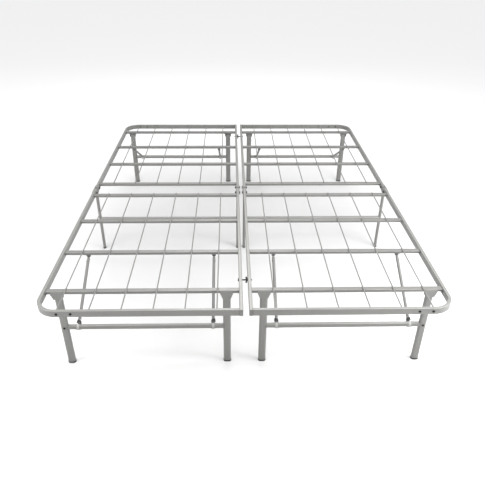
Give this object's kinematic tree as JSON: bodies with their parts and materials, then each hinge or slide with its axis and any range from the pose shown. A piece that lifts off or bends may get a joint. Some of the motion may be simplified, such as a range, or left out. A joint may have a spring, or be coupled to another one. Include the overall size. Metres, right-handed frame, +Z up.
{
  "type": "folding bed frame",
  "caption": "Folding platform bed frame of painted steel tube, in two half widths joined by thumb bolts, with slats, deck wires and braced folding legs.",
  "frame": {"origin": "middle of the footprint, on the floor", "axes": "+Y towards the head end, along the bed; +Z up; +X to the right when looking from the foot end to the head end"},
  "size_m": [1.5368, 2.032, 0.366],
  "materials": {
    "frame": "satin silver-grey powder coat",
    "hardware": "dark zinc-plated steel",
    "plastic": "moulded black plastic",
    "nylon": "natural nylon, satin"
  },
  "bodies": {
    "centre_frame": {"centre_legs": "frame", "centre_stretchers": "frame", "centre_feet": "plastic", "fold_brackets": "frame", "fold_bolts": "hardware", "fold_nuts": "hardware"},
    "foot_left_panel": {"foot_left_outer_rail": "frame", "foot_left_inner_rail": "frame", "foot_left_slats": "frame", "foot_left_wires": "frame", "foot_left_brackets": "frame", "foot_left_pins": "hardware", "foot_link_bolt": "hardware"},
    "foot_left_leg_frame": {"foot_left_outer_leg": "frame", "foot_left_inner_leg": "frame", "foot_left_stretcher": "frame", "foot_left_feet": "plastic"},
    "foot_left_brace_pair": {"foot_left_braces": "frame", "foot_left_clips": "nylon"},
    "foot_right_panel": {"foot_right_outer_rail": "frame", "foot_right_inner_rail": "frame", "foot_right_slats": "frame", "foot_right_wires": "frame", "foot_right_brackets": "frame", "foot_right_pins": "hardware"},
    "foot_right_leg_frame": {"foot_right_outer_leg": "frame", "foot_right_inner_leg": "frame", "foot_right_stretcher": "frame", "foot_right_feet": "plastic"},
    "foot_right_brace_pair": {"foot_right_braces": "frame", "foot_right_clips": "nylon"},
    "head_left_panel": {"head_left_outer_rail": "frame", "head_left_inner_rail": "frame", "head_left_slats": "frame", "head_left_wires": "frame", "head_left_brackets": "frame", "head_left_pins": "hardware"},
    "head_left_leg_frame": {"head_left_outer_leg": "frame", "head_left_inner_leg": "frame", "head_left_stretcher": "frame", "head_left_feet": "plastic"},
    "head_left_brace_pair": {"head_left_braces": "frame", "head_left_clips": "nylon"},
    "head_right_panel": {"head_right_outer_rail": "frame", "head_right_inner_rail": "frame", "head_right_slats": "frame", "head_right_wires": "frame", "head_right_brackets": "frame", "head_right_pins": "hardware", "head_link_bolt": "hardware"},
    "head_right_leg_frame": {"head_right_outer_leg": "frame", "head_right_inner_leg": "frame", "head_right_stretcher": "frame", "head_right_feet": "plastic"},
    "head_right_brace_pair": {"head_right_braces": "frame", "head_right_clips": "nylon"},
    "foot_wing_nut_body": {"foot_wing_nut": "plastic"},
    "head_wing_nut_body": {"head_wing_nut": "plastic"}
  },
  "joints": [
    {"name": "foot_left_fold", "type": "hinge", "parent": "centre_frame", "child": "foot_left_panel", "pos_m": [-0.3865, -0.03, 0.3525], "axis": [1, 0, 0], "range_deg": [0, 90]},
    {"name": "foot_right_fold", "type": "hinge", "parent": "centre_frame", "child": "foot_right_panel", "pos_m": [0.3865, -0.03, 0.3525], "axis": [1, 0, 0], "range_deg": [0, 90]},
    {"name": "head_left_fold", "type": "hinge", "parent": "centre_frame", "child": "head_left_panel", "pos_m": [-0.3865, 0.03, 0.3525], "axis": [-1, 0, 0], "range_deg": [0, 90]},
    {"name": "head_right_fold", "type": "hinge", "parent": "centre_frame", "child": "head_right_panel", "pos_m": [0.3865, 0.03, 0.3525], "axis": [-1, 0, 0], "range_deg": [0, 90]},
    {"name": "foot_left_leg_fold", "type": "hinge", "parent": "foot_left_panel", "child": "foot_left_leg_frame", "pos_m": [-0.3865, -0.884, 0.336], "axis": [1, 0, 0], "range_deg": [0, 90]},
    {"name": "foot_left_brace_swing", "type": "hinge", "parent": "foot_left_panel", "child": "foot_left_brace_pair", "pos_m": [-0.3865, -0.612, 0.34], "axis": [1, 0, 0], "range_deg": [0, 150.1]},
    {"name": "foot_right_leg_fold", "type": "hinge", "parent": "foot_right_panel", "child": "foot_right_leg_frame", "pos_m": [0.3865, -0.884, 0.336], "axis": [1, 0, 0], "range_deg": [0, 90]},
    {"name": "foot_right_brace_swing", "type": "hinge", "parent": "foot_right_panel", "child": "foot_right_brace_pair", "pos_m": [0.3865, -0.612, 0.34], "axis": [1, 0, 0], "range_deg": [0, 150.1]},
    {"name": "head_left_leg_fold", "type": "hinge", "parent": "head_left_panel", "child": "head_left_leg_frame", "pos_m": [-0.3865, 0.884, 0.336], "axis": [-1, 0, 0], "range_deg": [0, 90]},
    {"name": "head_left_brace_swing", "type": "hinge", "parent": "head_left_panel", "child": "head_left_brace_pair", "pos_m": [-0.3865, 0.612, 0.34], "axis": [-1, 0, 0], "range_deg": [0, 150.1]},
    {"name": "head_right_leg_fold", "type": "hinge", "parent": "head_right_panel", "child": "head_right_leg_frame", "pos_m": [0.3865, 0.884, 0.336], "axis": [-1, 0, 0], "range_deg": [0, 90]},
    {"name": "head_right_brace_swing", "type": "hinge", "parent": "head_right_panel", "child": "head_right_brace_pair", "pos_m": [0.3865, 0.612, 0.34], "axis": [-1, 0, 0], "range_deg": [0, 150.1]},
    {"name": "foot_wing_nut_spin", "type": "hinge", "parent": "foot_left_panel", "child": "foot_wing_nut_body", "pos_m": [0.0066, -0.812, 0.3525], "axis": [1, 0, 0], "continuous": true},
    {"name": "head_wing_nut_spin", "type": "hinge", "parent": "head_right_panel", "child": "head_wing_nut_body", "pos_m": [-0.0066, 0.812, 0.3525], "axis": [-1, 0, 0], "continuous": true}
  ],
  "couplings": [
    {"joint": "foot_left_brace_swing", "follows": "foot_left_leg_fold", "ratio": 1.6667},
    {"joint": "foot_right_brace_swing", "follows": "foot_right_leg_fold", "ratio": 1.6667},
    {"joint": "head_left_brace_swing", "follows": "head_left_leg_fold", "ratio": 1.6667},
    {"joint": "head_right_brace_swing", "follows": "head_right_leg_fold", "ratio": 1.6667},
    {"joint": "foot_right_fold", "follows": "foot_left_fold", "ratio": 1},
    {"joint": "head_right_fold", "follows": "head_left_fold", "ratio": 1}
  ]
}
